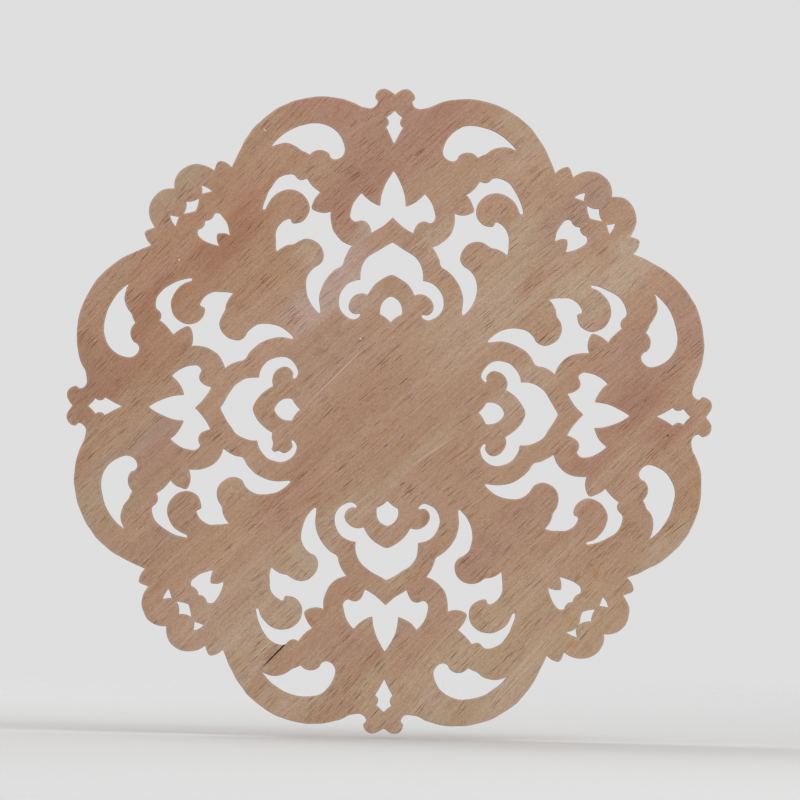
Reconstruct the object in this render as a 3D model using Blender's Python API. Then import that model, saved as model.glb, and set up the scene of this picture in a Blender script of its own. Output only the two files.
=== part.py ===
"""A flat wooden rosette, 300 mm across, fret-cut from one board and pierced right through.

The board stands upright in the XZ plane. Its flat back is at y = 0 and its face looks along -Y.
Four petals point up, right, down and left, and a small cluster fills each corner between them.
"""

import math

import bmesh
import bpy
import numpy as np

MM = 0.001
PETALS = 4
QUARTER_TURN = math.radians(90)
CORNER_TURN = math.radians(45)

# Driving dimensions, in millimetres. The outlines below are drawn for a span of DRAWN_SPAN.
SPAN = 300.0
THICKNESS = 8.0
DRAWN_SPAN = 300.0
SCALE = SPAN / DRAWN_SPAN

# How finely a round stretch is stepped: its largest gap to the true arc, and its largest turn at a point.
ARC_GAP = 0.14
ARC_TURN = math.radians(28)

# Petals and corners are counted clockwise from the top one, which is number 0.
# The drying split runs from a scroll of the bottom petal, and is 6 mm deep from the face.
SPLIT_PETAL = 2
SPLIT_MOUTH = (46.0, 108.7)
SPLIT_END = (56.6, 120.0)
SPLIT_WIDTH = 0.65
SPLIT_DEPTH = 6.0
# The saw slipped right through from a lozenge to the seed beside it, in the lower right corner.
SLIP_CORNER = 1
SLIP_START = (4.5, 132.65)
SLIP_END = (8.0, 133.25)
SLIP_WIDTH = 0.45
# One knob of the left petal was left roughly cut.
ROUGH_PETAL = 3

# A cutter reaches this far past the face that it cuts, and points this close are welded.
CUT_CLEARANCE = 2.0
WELD = 0.01
# A stroke that turns by less than this is straight.
STRAIGHT = 1e-6
# Walls that meet at more than this angle keep a sharp edge; the others are shaded smooth.
SHARP_TURN = math.radians(30)

WOOD_COLOUR = (0.41, 0.25, 0.17, 1.0)
WOOD_ROUGHNESS = 0.62

# Every outline runs clockwise as seen from the front. A row is (across, out, bow): a point that is
# `across` to the right of the motif's axis and `out` from the rosette's centre, and the bow of the
# stroke that leads to it. The bow is how far the stroke's middle stands off its chord: a positive
# one swells the shape that is being drawn, a negative one pinches it, and 0 is a straight stroke.

# The outer edge from a petal's axis: the finial's knob, the scoop below it, the rise to the great
# lobe, the lobe itself and its foot.
PETAL_EDGE = [
    (0.0, 147.4, 0),
    (3.2, 149.6, 0.12),
    (9.3, 145.6, 2.05),
    (7.95, 144.2, -0.15),
    (12.7, 140.95, -1.35),
    (19.0, 143.2, -0.42),
    (25.5, 145.25, 0.15),
    (71.4, 120.9, 9.0),
    (75.25, 112.15, 0.15),
]

# The corner's edge beside the corner's own axis, from the lobe's foot: the leaf, then the bud.
CORNER_EDGE = [
    (-24.45, 138.4, 0.55),
    (-22.5, 138.75, 0.3),
    (-19.05, 137.15, 0.1),
    (-7.8, 148.0, 3.1),
    (0.0, 143.95, 1.0),
]

# Half outlines, from the outer end of the axis down the right-hand side to the inner end.
SPEARHEAD = [
    (0.0, 140.2, 0),
    (3.7, 136.7, -0.15),
    (4.15, 132.2, -1.25),
    (0.0, 124.6, -0.15),
]
LILY = [
    (0.0, 111.9, 0),
    (5.5, 100.0, 0.62),
    (5.9, 95.5, -0.12),
    (14.65, 101.45, -0.95),
    (19.8, 91.3, 1.0),
    (17.5, 87.75, 0.85),
    (16.25, 88.25, 0.1),
    (11.4, 87.1, -0.95),
    (9.8, 82.95, -0.25),
    (0.0, 90.45, 0.65),
]
ONION_HEAD = [
    (0.0, 78.6, 0),
    (10.4, 72.3, 0.05),
    (14.5, 61.0, 1.5),
    (24.45, 50.6, 2.85),
    (17.7, 42.65, 1.9),
    (14.4, 44.4, 0.5),
    (15.0, 45.25, 0.3),
]
# The wooden knob that the onion's tail curls round, as drawn, and as the saw left one of the eight.
ROUND_KNOB = [
    (16.6, 44.95, -0.03),
    (19.85, 49.1, -0.95),
    (13.2, 54.7, -1.7),
    (10.85, 54.1, -0.1),
]
ROUGH_KNOB = [
    (17.1, 44.6, -0.1),
    (20.2, 48.6, -0.75),
    (19.3, 51.1, 0.05),
    (19.95, 52.9, 0.1),
    (18.3, 54.6, -0.2),
    (15.7, 53.6, 0.12),
    (13.2, 54.3, -0.12),
    (10.85, 54.1, -0.1),
]
ONION_FLOOR = [(0.0, 63.4, -1.7)]
PEARL = [
    (0.0, 53.45, 0),
    (5.1, 46.8, 1.5),
    (4.95, 45.1, 0.05),
    (0.0, 41.55, -0.35),
]
TULIP = [
    (0.0, 123.3, 0),
    (5.1, 122.65, -1.0),
    (7.15, 119.3, 0.85),
    (3.5, 110.4, 0.7),
    (0.0, 115.15, -0.6),
]
LOZENGE = [
    (0.0, 135.8, 0),
    (5.0, 132.75, -0.55),
    (0.0, 129.55, 0.25),
]

# Whole outlines on the right-hand side of an axis. Each is mirrored to the left-hand side too.
CRESCENT = [
    (57.2, 122.2, 0),
    (51.0, 124.0, -0.3),
    (42.8, 120.45, -0.85),
    (39.1, 118.75, -0.2),
    (30.1, 119.3, -2.0),
    (27.0, 116.75, 0.8),
    (22.85, 121.6, 1.2),
    (37.0, 133.5, 3.7),
    (57.2, 122.2, 2.6),
]
SCROLL = [
    (60.45, 93.3, 0),
    (59.1, 93.2, 0.5),
    (48.3, 102.45, -2.25),
    (38.7, 93.6, -2.65),
    (45.7, 86.6, -1.95),
    (47.3, 88.1, -0.5),
    (48.6, 88.85, 0.25),
    (54.15, 79.6, 1.95),
    (53.45, 73.5, 0.25),
    (45.9, 77.05, -0.8),
    (39.8, 79.65, -0.5),
    (31.8, 72.4, -2.1),
    (33.4, 67.9, -0.5),
    (39.75, 58.2, 1.85),
    (33.8, 45.35, 1.6),
    (32.95, 46.0, 0.35),
    (33.5, 51.5, -0.12),
    (23.0, 67.65, -2.6),
    (18.65, 76.8, -0.6),
    (28.9, 88.9, -2.65),
    (28.75, 92.6, 0),
    (37.3, 93.2, -1.1),
    (37.7, 95.2, -0.35),
    (33.9, 101.3, -0.5),
    (40.4, 107.7, -0.6),
    (45.1, 108.0, -0.95),
    (48.0, 109.6, 0.5),
    (56.2, 104.1, 1.25),
    (60.45, 93.3, 0.7),
]
SEED = [
    (10.0, 136.4, 0),
    (11.75, 131.0, 0.45),
    (7.5, 133.2, -0.1),
    (10.0, 136.4, -0.2),
]


def arc(start, end, bow):
    """The points after start on the arc to end whose middle stands off the chord by bow, to the left."""
    start, end = np.array(start, float), np.array(end, float)
    chord = np.linalg.norm(end - start)
    half_turn = 2 * math.atan2(2 * abs(bow), chord)
    if half_turn < STRAIGHT:
        return [end]
    radius = chord / (2 * math.sin(half_turn))
    step = min(2 * math.sqrt(2 * ARC_GAP / radius), ARC_TURN)
    count = max(1, math.ceil(2 * half_turn / step))
    along = (end - start) / chord
    left = np.array([-along[1], along[0]]) * math.copysign(1, bow)
    centre = (start + end) / 2 - left * radius * math.cos(half_turn)
    angles = np.linspace(-half_turn, half_turn, count + 1)[1:]
    return [centre + radius * (math.sin(a) * along + math.cos(a) * left) for a in angles]


def stroke(rows):
    """The points of an outline whose first row is its start."""
    points = [np.array(rows[0][:2], float)]
    for across, out, bow in rows[1:]:
        points += arc(points[-1], (across, out), bow)
    return np.array(points)


def mirrored(points):
    """The same outline on the other side of its axis, turned round so that it still runs clockwise."""
    return (points * (-1, 1))[::-1]


def whole(right, left=None):
    """A closed outline from its right-hand half and, where the two differ, its left-hand half."""
    left = right if left is None else left
    return np.concatenate([right[:-1], mirrored(left)[:-1]])


def turned(points, angle):
    """Points turned clockwise about the rosette's centre, as seen from the front."""
    c, s = math.cos(angle), math.sin(angle)
    return points @ np.array([[c, -s], [s, c]])


def edge():
    """The outer edge: an eighth, its mirror image over the corner's axis, and three more quarters."""
    petal_side = stroke(PETAL_EDGE)
    foot = turned(petal_side[-1:], -CORNER_TURN)[0]
    corner_side = turned(stroke([(*foot, 0)] + CORNER_EDGE), CORNER_TURN)
    eighth = np.concatenate([petal_side[:-1], corner_side])
    quarter = np.concatenate([eighth[:-1], eighth[::-1, ::-1][:-1]])
    return np.concatenate([turned(quarter, k * QUARTER_TURN) for k in range(PETALS)])


def onion(petal):
    """The onion dome with its two curled tails. One knob of one petal keeps the saw's rough cut."""
    right = stroke(ONION_HEAD + ROUND_KNOB + ONION_FLOOR)
    rough = stroke(ONION_HEAD + ROUGH_KNOB + ONION_FLOOR)
    return whole(right, rough if petal == ROUGH_PETAL else right)


def petal_holes(petal):
    """The eight piercings of one petal, upright."""
    on_axis = [whole(stroke(half)) for half in (SPEARHEAD, LILY, PEARL)] + [onion(petal)]
    sides = [stroke(rows)[:-1] for rows in (CRESCENT, SCROLL)]
    return on_axis + sides + [mirrored(side) for side in sides]


def corner_holes():
    """The four piercings of one corner cluster, upright."""
    seed = stroke(SEED)[:-1]
    return [whole(stroke(TULIP)), whole(stroke(LOZENGE)), seed, mirrored(seed)]


def outlines():
    """The outer edge, then every piercing."""
    found = [edge()]
    for k in range(PETALS):
        found += [turned(hole, k * QUARTER_TURN) for hole in petal_holes(k)]
        found += [turned(hole, k * QUARTER_TURN + CORNER_TURN) for hole in corner_holes()]
    return [points * SCALE for points in found]


def in_collection(name):
    """A new collection in the scene."""
    collection = bpy.data.collections.new(name)
    bpy.context.scene.collection.children.link(collection)
    return collection


def flat_curve(name, loops, front, back, collection):
    """A 2D curve of closed loops, stood up and filled from y = front to y = back, in millimetres."""
    curve = bpy.data.curves.new(name, "CURVE")
    curve.dimensions = "2D"
    curve.fill_mode = "BOTH"
    curve.extrude = (back - front) * MM / 2
    for points in loops:
        spline = curve.splines.new("POLY")
        spline.points.add(len(points) - 1)
        rows = np.column_stack([points * MM, np.zeros(len(points)), np.ones(len(points))])
        spline.points.foreach_set("co", rows.ravel())
        spline.use_cyclic_u = True
    obj = bpy.data.objects.new(name, curve)
    obj.rotation_euler = (QUARTER_TURN, 0, 0)
    obj.location = (0, (front + back) * MM / 2, 0)
    collection.objects.link(obj)
    bpy.context.view_layer.update()
    return obj


def as_mesh(obj, collection):
    """The curve's solid as a mesh object in its place, with its caps welded to its walls."""
    graph = bpy.context.evaluated_depsgraph_get()
    mesh = bpy.data.meshes.new_from_object(obj.evaluated_get(graph))
    shape = bmesh.new()
    shape.from_mesh(mesh)
    bmesh.ops.remove_doubles(shape, verts=shape.verts, dist=WELD * MM)
    bmesh.ops.recalc_face_normals(shape, faces=shape.faces)
    shape.to_mesh(mesh)
    shape.free()
    name, place = obj.name, obj.matrix_world.copy()
    bpy.data.objects.remove(obj)
    solid = bpy.data.objects.new(name, mesh)
    solid.matrix_world = place
    collection.objects.link(solid)
    return solid


def across_line(start, end, width):
    """The unit offset to the left of a line from start to end, times half a width."""
    along = (np.array(end) - start) / math.dist(start, end)
    return np.array([-along[1], along[0]]) * width / 2


def split_loop():
    """The drying split: widest where it opens into the scroll, and closed near the crescent's tip."""
    side = across_line(SPLIT_MOUTH, SPLIT_END, SPLIT_WIDTH)
    loop = np.array([SPLIT_MOUTH + side, SPLIT_END, SPLIT_MOUTH - side])
    return turned(loop, SPLIT_PETAL * QUARTER_TURN)


def slip_loop():
    """The slit where the saw ran on from a lozenge into the seed beside it."""
    side = across_line(SLIP_START, SLIP_END, SLIP_WIDTH)
    loop = np.array([SLIP_START + side, SLIP_END + side, SLIP_END - side, SLIP_START - side])
    return turned(loop, SLIP_CORNER * QUARTER_TURN + CORNER_TURN)


def cut(board, loop, depth, name, collection):
    """Cuts a thin loop into the board's face, to a depth."""
    front, back = -THICKNESS - CUT_CLEARANCE, depth - THICKNESS
    cutter = as_mesh(flat_curve(name, [loop * SCALE], front, back, collection), collection)
    cutter.hide_render = True
    cutter.display_type = "WIRE"
    boolean = board.modifiers.new(name, "BOOLEAN")
    boolean.operation = "DIFFERENCE"
    boolean.object = cutter


def wood():
    """Bare, sanded wood."""
    material = bpy.data.materials.new("bare_wood")
    material.use_nodes = True
    shader = material.node_tree.nodes["Principled BSDF"]
    shader.inputs["Base Color"].default_value = WOOD_COLOUR
    shader.inputs["Roughness"].default_value = WOOD_ROUGHNESS
    shader.inputs["Metallic"].default_value = 0.0
    return material


def main():
    for obj in list(bpy.data.objects):
        bpy.data.objects.remove(obj)
    parts = in_collection("rosette")
    cutters = in_collection("cutters")
    board = as_mesh(flat_curve("rosette_board", outlines(), -THICKNESS, 0, parts), parts)
    board.data.materials.append(wood())
    board.data.shade_smooth()
    board.data.set_sharp_from_angle(angle=SHARP_TURN)
    cut(board, split_loop(), SPLIT_DEPTH, "drying_split", cutters)
    cut(board, slip_loop(), THICKNESS + CUT_CLEARANCE, "saw_slip", cutters)


main()
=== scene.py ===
# %% [markdown]
# # A pierced wooden rosette
# This script dresses one flat, fret-sawn rosette. The board's true outline, thickness and
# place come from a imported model, the frame. Everything that a camera sees is made here: the
# flowing saw cuts, the eased edges, the drying split, the grain and the pores, and a small
# studio. Distances are worked out in millimetres and turned into metres at the last moment.

# %% Load the fixed frame
from itertools import groupby

import bpy
import numpy as np
from mathutils import Matrix, Vector
from mathutils.geometry import delaunay_2d_cdt


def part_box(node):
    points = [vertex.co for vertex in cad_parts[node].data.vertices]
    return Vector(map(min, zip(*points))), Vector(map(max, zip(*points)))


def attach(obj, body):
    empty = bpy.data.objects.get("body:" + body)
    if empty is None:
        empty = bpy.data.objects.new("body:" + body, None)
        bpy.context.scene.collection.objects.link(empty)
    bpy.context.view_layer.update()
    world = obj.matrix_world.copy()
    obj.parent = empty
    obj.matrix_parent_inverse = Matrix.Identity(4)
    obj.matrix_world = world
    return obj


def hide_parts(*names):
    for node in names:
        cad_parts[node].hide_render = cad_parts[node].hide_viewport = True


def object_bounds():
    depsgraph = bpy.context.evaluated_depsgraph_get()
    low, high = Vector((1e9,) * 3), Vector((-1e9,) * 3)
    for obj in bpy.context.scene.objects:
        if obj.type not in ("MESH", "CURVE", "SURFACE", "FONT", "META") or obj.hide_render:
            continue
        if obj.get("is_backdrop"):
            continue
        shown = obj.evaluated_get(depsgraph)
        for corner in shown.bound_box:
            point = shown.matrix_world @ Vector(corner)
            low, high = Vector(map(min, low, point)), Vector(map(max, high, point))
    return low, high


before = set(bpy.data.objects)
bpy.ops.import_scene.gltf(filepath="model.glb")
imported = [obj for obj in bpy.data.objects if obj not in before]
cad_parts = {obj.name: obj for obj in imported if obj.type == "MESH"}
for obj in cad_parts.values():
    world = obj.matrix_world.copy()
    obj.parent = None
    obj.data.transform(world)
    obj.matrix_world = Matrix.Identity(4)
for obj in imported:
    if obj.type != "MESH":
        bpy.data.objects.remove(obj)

MM = 0.001
cad_low, cad_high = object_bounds()
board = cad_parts["rosette_board"]
board_low, board_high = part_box("rosette_board")
FACE = board_low.y / MM
BACK = board_high.y / MM
THICKNESS = BACK - FACE
print("board: %.1f mm across, %.1f mm thick" % ((board_high.x - board_low.x) / MM, THICKNESS))

# %% [markdown]
# ## Reading the saw lines
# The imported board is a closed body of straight-sided facets. Its back is flat and free of
# faults, so the rim of the back's triangles is the plan of the whole fretwork: one outer
# line and one line for each piercing. The plan could be drawn again from arcs, but then two
# plans would have to agree. Reading it from the board keeps a single one.
#
# An edge of the flat back belongs to the rim when no other back triangle runs along it the
# other way. Each rim edge tells which corner comes next, and following those links gives
# the closed lines.

# %% The rim of the back
FLAT_WITHIN = 1e-6


def merged_triangles(node):
    """Corner points and triangles of a board whose triangles come loose: corners on one spot
    become one corner."""
    mesh = node.data
    mesh.calc_loop_triangles()
    points = np.empty(len(mesh.vertices) * 3, np.float32)
    mesh.vertices.foreach_get("co", points)
    corners = np.empty(len(mesh.loop_triangles) * 3, np.int32)
    mesh.loop_triangles.foreach_get("vertices", corners)
    spots, number = np.unique(np.round(points.reshape(-1, 3), 7), axis=0, return_inverse=True)
    return spots, number.ravel()[corners].reshape(-1, 3)


def rim_links(spots, triangles):
    """Start and end corners of the back's rim edges, with the wood on the left of each edge as
    seen from the front. The back's triangles face away, so their edges are read backwards."""
    on_back = spots[:, 1] > board_high.y - FLAT_WITHIN
    flat = triangles[on_back[triangles].all(axis=1)]
    end, start = flat.ravel(), np.roll(flat, -1, axis=1).ravel()
    edge, reverse = start * len(spots) + end, end * len(spots) + start
    rim = ~np.isin(edge, reverse)
    return start[rim], end[rim]


spots, triangles = merged_triangles(board)
rim_start, rim_end = rim_links(spots, triangles)
rim_corners = np.sort(rim_start)
following = np.empty(len(rim_corners), int)
following[np.searchsorted(rim_corners, rim_start)] = np.searchsorted(rim_corners, rim_end)
plan = (spots[rim_corners, 0] + 1j * spots[rim_corners, 2]) / MM
print("the back's rim has", len(plan), "corners")

# %% [markdown]
# The links still have to be sorted into lines. Walking along them one by one would be a
# loop over every corner. Instead each corner looks 1, 2, 4, 8 ... links ahead at once. After
# a few doublings it knows the lowest corner number of its own line, where the line starts,
# and how many links away that is. Points of the plan are complex numbers, x + i z, because
# turning and mirroring them is then one multiplication.


# %% The closed lines, each in order
def closed_lines(after):
    """Sorts linked corners into closed lines. after[i] is the corner that follows corner i."""
    every = np.arange(len(after))
    doublings = int(np.ceil(np.log2(len(after)))) + 1
    start, ahead = every, after
    for _ in range(doublings):
        start = np.minimum(start, start[ahead])
        ahead = ahead[ahead]
    leads = start == every
    ahead, links = np.where(leads, every, after), np.where(leads, 0, 1)
    for _ in range(doublings):
        links = links + links[ahead]
        ahead = ahead[ahead]
    order = np.lexsort((-np.where(leads, len(after), links), start))
    return np.split(order, np.flatnonzero(np.diff(start[order])) + 1)


saw_lines = [plan[line] for line in closed_lines(following)]
print(len(saw_lines) - 1, "piercings and one outer line")

# %% [markdown]
# ## From facets to a hand-guided cut
# A fret saw leaves flowing curves that meet in small, slightly blunt corners. Three things
# turn the facets into such a cut. First, a cubic runs through the corners of the plan: at
# each one it runs parallel to the line that joins its two neighbours, and only at a real
# corner does it break. Then the line is softened over a quarter of a millimetre, about half
# the width of the blade. Last, it strays a little to either side, as a saw does in the hand,
# so that no two petals come out the same. A subdivision surface could smooth the facets
# too, but it would round the real corners as much as the arcs.

# %% Smooth curves between the real corners
REAL_CORNER = np.radians(42)
PIECES_A_CHORD = 14
FINE_GAP = 0.08


def flowing(corners):
    """A closed curve through the corners, with several points on each chord.

    Each chord from P to Q becomes the cubic (1+2t)(1-t)^2 P + t(1-t)^2 L a + t^2(3-2t) Q
    + t^2(t-1) L b. L is the chord's length, and a and b are the directions at its ends. At
    a real corner the direction is the other end's, mirrored about the chord, which makes
    an arc."""
    chord = np.roll(corners, -1) - corners
    before = np.roll(chord, 1)
    along = chord / np.abs(chord)
    passing = (chord + before) / np.abs(chord + before)
    breaks = np.abs(np.angle(chord / before)) > REAL_CORNER
    breaks_next, passing_next = np.roll(breaks, -1), np.roll(passing, -1)
    leave_corner = np.where(breaks_next, along, along**2 * np.conj(passing_next))
    reach_corner = np.where(breaks, along, along**2 * np.conj(passing))
    leave = np.where(breaks, leave_corner, passing) * np.abs(chord)
    reach = np.where(breaks_next, reach_corner, passing_next) * np.abs(chord)
    t = np.linspace(0, 1, PIECES_A_CHORD, endpoint=False)[:, None]
    curve = (1 + 2 * t) * (1 - t) ** 2 * corners + t * (1 - t) ** 2 * leave
    curve = curve + t**2 * (3 - 2 * t) * np.roll(corners, -1) + t**2 * (t - 1) * reach
    return curve.T.ravel()


def evenly(curve, gap):
    """The same closed curve with its points about gap apart, and the exact gap."""
    ring = np.append(curve, curve[0])
    run = np.append(0, np.cumsum(np.abs(np.diff(ring))))
    count = max(int(run[-1] / gap), 24)
    return np.interp(np.arange(count) * run[-1] / count, run, ring), run[-1] / count


def soften(values, gap, reach):
    """A closed run of values, averaged along its length with a bell curve of that reach. A wave
    of frequency f keeps exp(-2 (pi reach f)^2) of its height."""
    waves = np.fft.fftfreq(len(values), gap)
    return np.fft.ifft(np.fft.fft(values) * np.exp(-2 * (np.pi * reach * waves) ** 2))


def directions(curve):
    """Unit directions along a closed curve, each parallel to the line between two neighbours."""
    step = np.roll(curve, -1) - np.roll(curve, 1)
    return step / np.abs(step)


# %% The hand of the sawyer
KERF_ROUNDING = 0.24
STRAY = 0.1
STRAY_WAVES = (1.6, 9.0)


def stray(count, gap, seed):
    """How far the blade strays at each point, as x + i z: random numbers softened over a short
    reach, less the same numbers softened over a long one, which leaves the waves between the
    two. Straying square to the cut instead would tie a loop at a sharp tip."""
    hand = np.random.default_rng(seed).normal(size=2 * count).view(complex)
    short, long = (soften(hand, gap, reach) for reach in STRAY_WAVES)
    return STRAY * (short - long) / (short - long).std()


def sawn(corners, seed):
    """A hand-guided cut along a line of the plan, with points FINE_GAP apart."""
    curve, gap = evenly(flowing(corners), FINE_GAP)
    curve = soften(curve, gap, KERF_ROUNDING)
    return curve + stray(len(curve), gap, seed), gap


cuts = [sawn(line, seed) for seed, line in enumerate(saw_lines)]
total_cut = sum(len(curve) * gap for curve, gap in cuts)
print("the saw travels %.2f m" % (total_cut / 1000))

# %% [markdown]
# A straight run needs few points and a tight scroll needs many. The spacing is the chord
# whose arc bows out from it by a set amount e: the square root of 8 e R for a radius R. One
# over the spacing, summed along the line, counts the points, and each whole number in that
# sum is a point.

# %% Points where the cut turns
BOW = 0.01
SPACING = (0.2, 2.0)
SPACING_REACH = 0.8
LEAST_BEND = 1e-6


def placed(curve, gap):
    """Points and inward normals of a cut, spaced by how sharply it turns."""
    heading = directions(curve)
    bend = np.abs(np.angle(np.roll(heading, -1) / np.roll(heading, 1))) / (2 * gap)
    spacing = np.clip(np.sqrt(8 * BOW / np.maximum(bend, LEAST_BEND)), *SPACING)
    tally = np.append(0, np.cumsum(soften(1 / spacing, gap, SPACING_REACH).real * gap))
    count = int(round(tally[-1]))
    fine = np.arange(len(curve) + 1)
    at = np.interp(np.arange(count) * tally[-1] / count, tally, fine)
    inward = 1j * np.interp(at, fine, np.append(heading, heading[0]))
    return np.interp(at, fine, np.append(curve, curve[0])), inward / np.abs(inward)


lines = [placed(*cut) for cut in cuts]
edge = np.concatenate([points for points, inward in lines])
inward = np.concatenate([inward for points, inward in lines])
sizes = np.array([len(points) for points, _ in lines])
line_of = np.repeat(np.arange(len(sizes)), sizes)
first_of = np.repeat(np.cumsum(sizes) - sizes, sizes)
after = first_of + (np.arange(len(edge)) - first_of + 1) % sizes[line_of]
print(len(edge), "points on the saw lines")

# %% [markdown]
# ## Room for an eased edge
# A maker takes the furry edge off with fine paper, which leaves a tiny quarter round, the
# arris. On a wide part it can be full size, but at the point of a cusp there is no room for
# it. The room at a point p is the largest disc of wood that touches the cut there. A disc
# through p that also meets a point q has the radius |q - p|^2 / (2 n . (q - p)), where n
# points into the wood, and the smallest over all q is the one that fits. A Bevel modifier
# would clamp the whole board to its narrowest spot, so each point gets its own share.

# %% The largest disc at each point
DISC_SHARE = 0.75
NEARLY_LEVEL = 1e-9


def disc_radius(points, normals):
    """For each point, the smallest |q - p|^2 / (2 n . (q - p)) over the edge's points q ahead."""
    gap = edge[None, :] - points[:, None]
    ahead = (gap * np.conj(normals)[:, None]).real
    return np.where(ahead > NEARLY_LEVEL, np.abs(gap) ** 2 / np.maximum(2 * ahead, NEARLY_LEVEL),
                    np.inf).min(axis=1)


room = np.concatenate([disc_radius(points, normals) for points, normals in lines])
print("narrowest bar of wood: %.1f mm" % (2 * np.percentile(room, 2)))

# %% [markdown]
# ## The section through the edge
# Every cut has the same section, carried along the line: a ring on the face, the arris, the
# sawn wall with a slight drift in it, a smaller arris behind, and a ring on the back. It is
# a profile along a path, so the whole edge is one table: a row for each step of the section
# and a column for each point of the lines.

# %% Carry the section along every line
FACE_RING = 1.0
ARRIS = 0.34
BACK_ARRIS = 0.2
JUST_PAST = 1.01
ARRIS_TURNS = np.radians([0, 30, 60, 90])
BACK_TURNS = np.radians([90, 45, 0])
WALL_SHARES = np.array([0.35, 0.7])
WALL_DRIFT = 0.05
DRIFT_REACH = 2.0
SANDED_HOLLOW = 0.05
SANDED_WAVES = ((0.071, 0.3, 1.0), (0.043, 1.9, 2.0), (0.117, 2.6, 4.0))


def section():
    """Distance in from the cut and depth below the face at each step, in mm. An arris of radius
    r is r (1 - sin a) in and r (1 - cos a) down as a goes from 0 to a right angle."""
    front = [ARRIS * (1 - np.sin(ARRIS_TURNS)), ARRIS * (1 - np.cos(ARRIS_TURNS))]
    back = [BACK_ARRIS * (1 - np.sin(BACK_TURNS)),
            THICKNESS - BACK_ARRIS * (1 - np.cos(BACK_TURNS))]
    wall = ARRIS + WALL_SHARES * (THICKNESS - ARRIS - BACK_ARRIS)
    in_from_cut = np.concatenate([[FACE_RING], front[0], 0 * wall, back[0], [FACE_RING]])
    depth = np.concatenate([[0], front[1], wall, back[1], [THICKNESS]])
    return in_from_cut, depth


def sanded(points):
    """Depth of the shallow hollows that hand sanding leaves in the face: a sum of sine waves
    whose directions differ."""
    waves = [np.sin(rate * 2 * np.pi * (points * np.exp(1j * angle)).real + phase)
             for rate, angle, phase in SANDED_WAVES]
    return SANDED_HOLLOW * (0.5 + sum(waves) / (2 * len(waves)))


in_from_cut, depth = section()
scale = np.minimum(1, DISC_SHARE * room / FACE_RING)
wall_row = (in_from_cut == 0)[:, None]
drift = np.concatenate([soften(np.random.default_rng(len(sizes) + seed).normal(size=size),
                               SPACING[0], DRIFT_REACH).real for seed, size in enumerate(sizes)])
drift = WALL_DRIFT * drift / drift.std() * np.sin(np.pi * depth / THICKNESS)[:, None] * wall_row
rows = edge + inward * (in_from_cut[:, None] * scale + np.abs(drift))
front_share = np.clip(1 - depth / THICKNESS, 0, 1)[:, None]
near_face = depth[:, None] < ARRIS * JUST_PAST
near_back = depth[:, None] > THICKNESS - BACK_ARRIS * JUST_PAST
shrunk = np.where(near_face, depth[:, None] * scale,
                  np.where(near_back, THICKNESS - (THICKNESS - depth[:, None]) * scale,
                           depth[:, None]))
row_depth = shrunk + sanded(rows) * front_share
print("section:", len(in_from_cut), "steps")

# %% [markdown]
# ## Filling the face
# Between the rings lies the flat face. A triangulation that must keep the rings' edges fills
# it, and a loose grid of points inside keeps the triangles short, so that the hollows left by
# sanding show in a raking light. The triangulation also fills the piercings. A triangle
# whose corners all lie on one line is kept only if it runs the way that the line does, with
# the wood on its left. One that joins two lines, or touches a grid point, is always wood.

# %% Grid points inside the wood
GRID = 3.0
GRID_CLEARANCE = 1.4
GRID_PARTS = 40


def grid_points():
    """Points of a square grid that lie in the wood. The nearest point of the edge tells on which
    side a grid point lies, and how far in."""
    reach = np.abs(edge).max()
    line = np.arange(-reach, reach, GRID)
    grid = (line[None, :] + 1j * line[:, None]).ravel()
    parts = np.array_split(grid, GRID_PARTS)
    nearest = np.concatenate([np.abs(part[:, None] - edge[None, :]).argmin(axis=1) for part in parts])
    side = ((grid - edge[nearest]) * np.conj(inward[nearest])).real
    gap = np.abs(grid - edge[nearest])
    inside = (side > 0) & (gap > FACE_RING + GRID_CLEARANCE)
    return grid[inside], gap[inside]


grid, grid_gap = grid_points()
print(len(grid), "grid points inside the wood")


# %% Triangles of the face
SAME_SPOT = 1e-7


def face_triangles(ring, grid):
    """Triangles between the ring's points and the grid's, anticlockwise from the front."""
    points = np.concatenate([ring, grid])
    flat = [Vector((p.real, p.imag)) for p in points]
    kept_edges = np.stack([np.arange(len(ring)), after], axis=1).tolist()
    made = delaunay_2d_cdt(flat, kept_edges, [], 0, SAME_SPOT)
    if len(made[0]) != len(points):
        print("the ring crosses itself:", len(made[0]) - len(points), "extra points")
    spots = np.array(made[0]) @ np.array([1, 1j])
    corners = np.sort(np.array(made[2]), axis=1)
    a, b, c = spots[corners].T
    turns_left = ((b - a) * np.conj(1j * (c - a))).real < 0
    on_ring = corners[:, 2] < len(ring)
    line = line_of[np.minimum(corners, len(ring) - 1)]
    one_line = on_ring & (line[:, 0] == line[:, 1]) & (line[:, 1] == line[:, 2])
    kept = turns_left | ~one_line
    return np.where(turns_left[:, None], corners, corners[:, ::-1])[kept]


face = face_triangles(rows[0], grid)
print(len(face), "triangles in the face")
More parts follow.
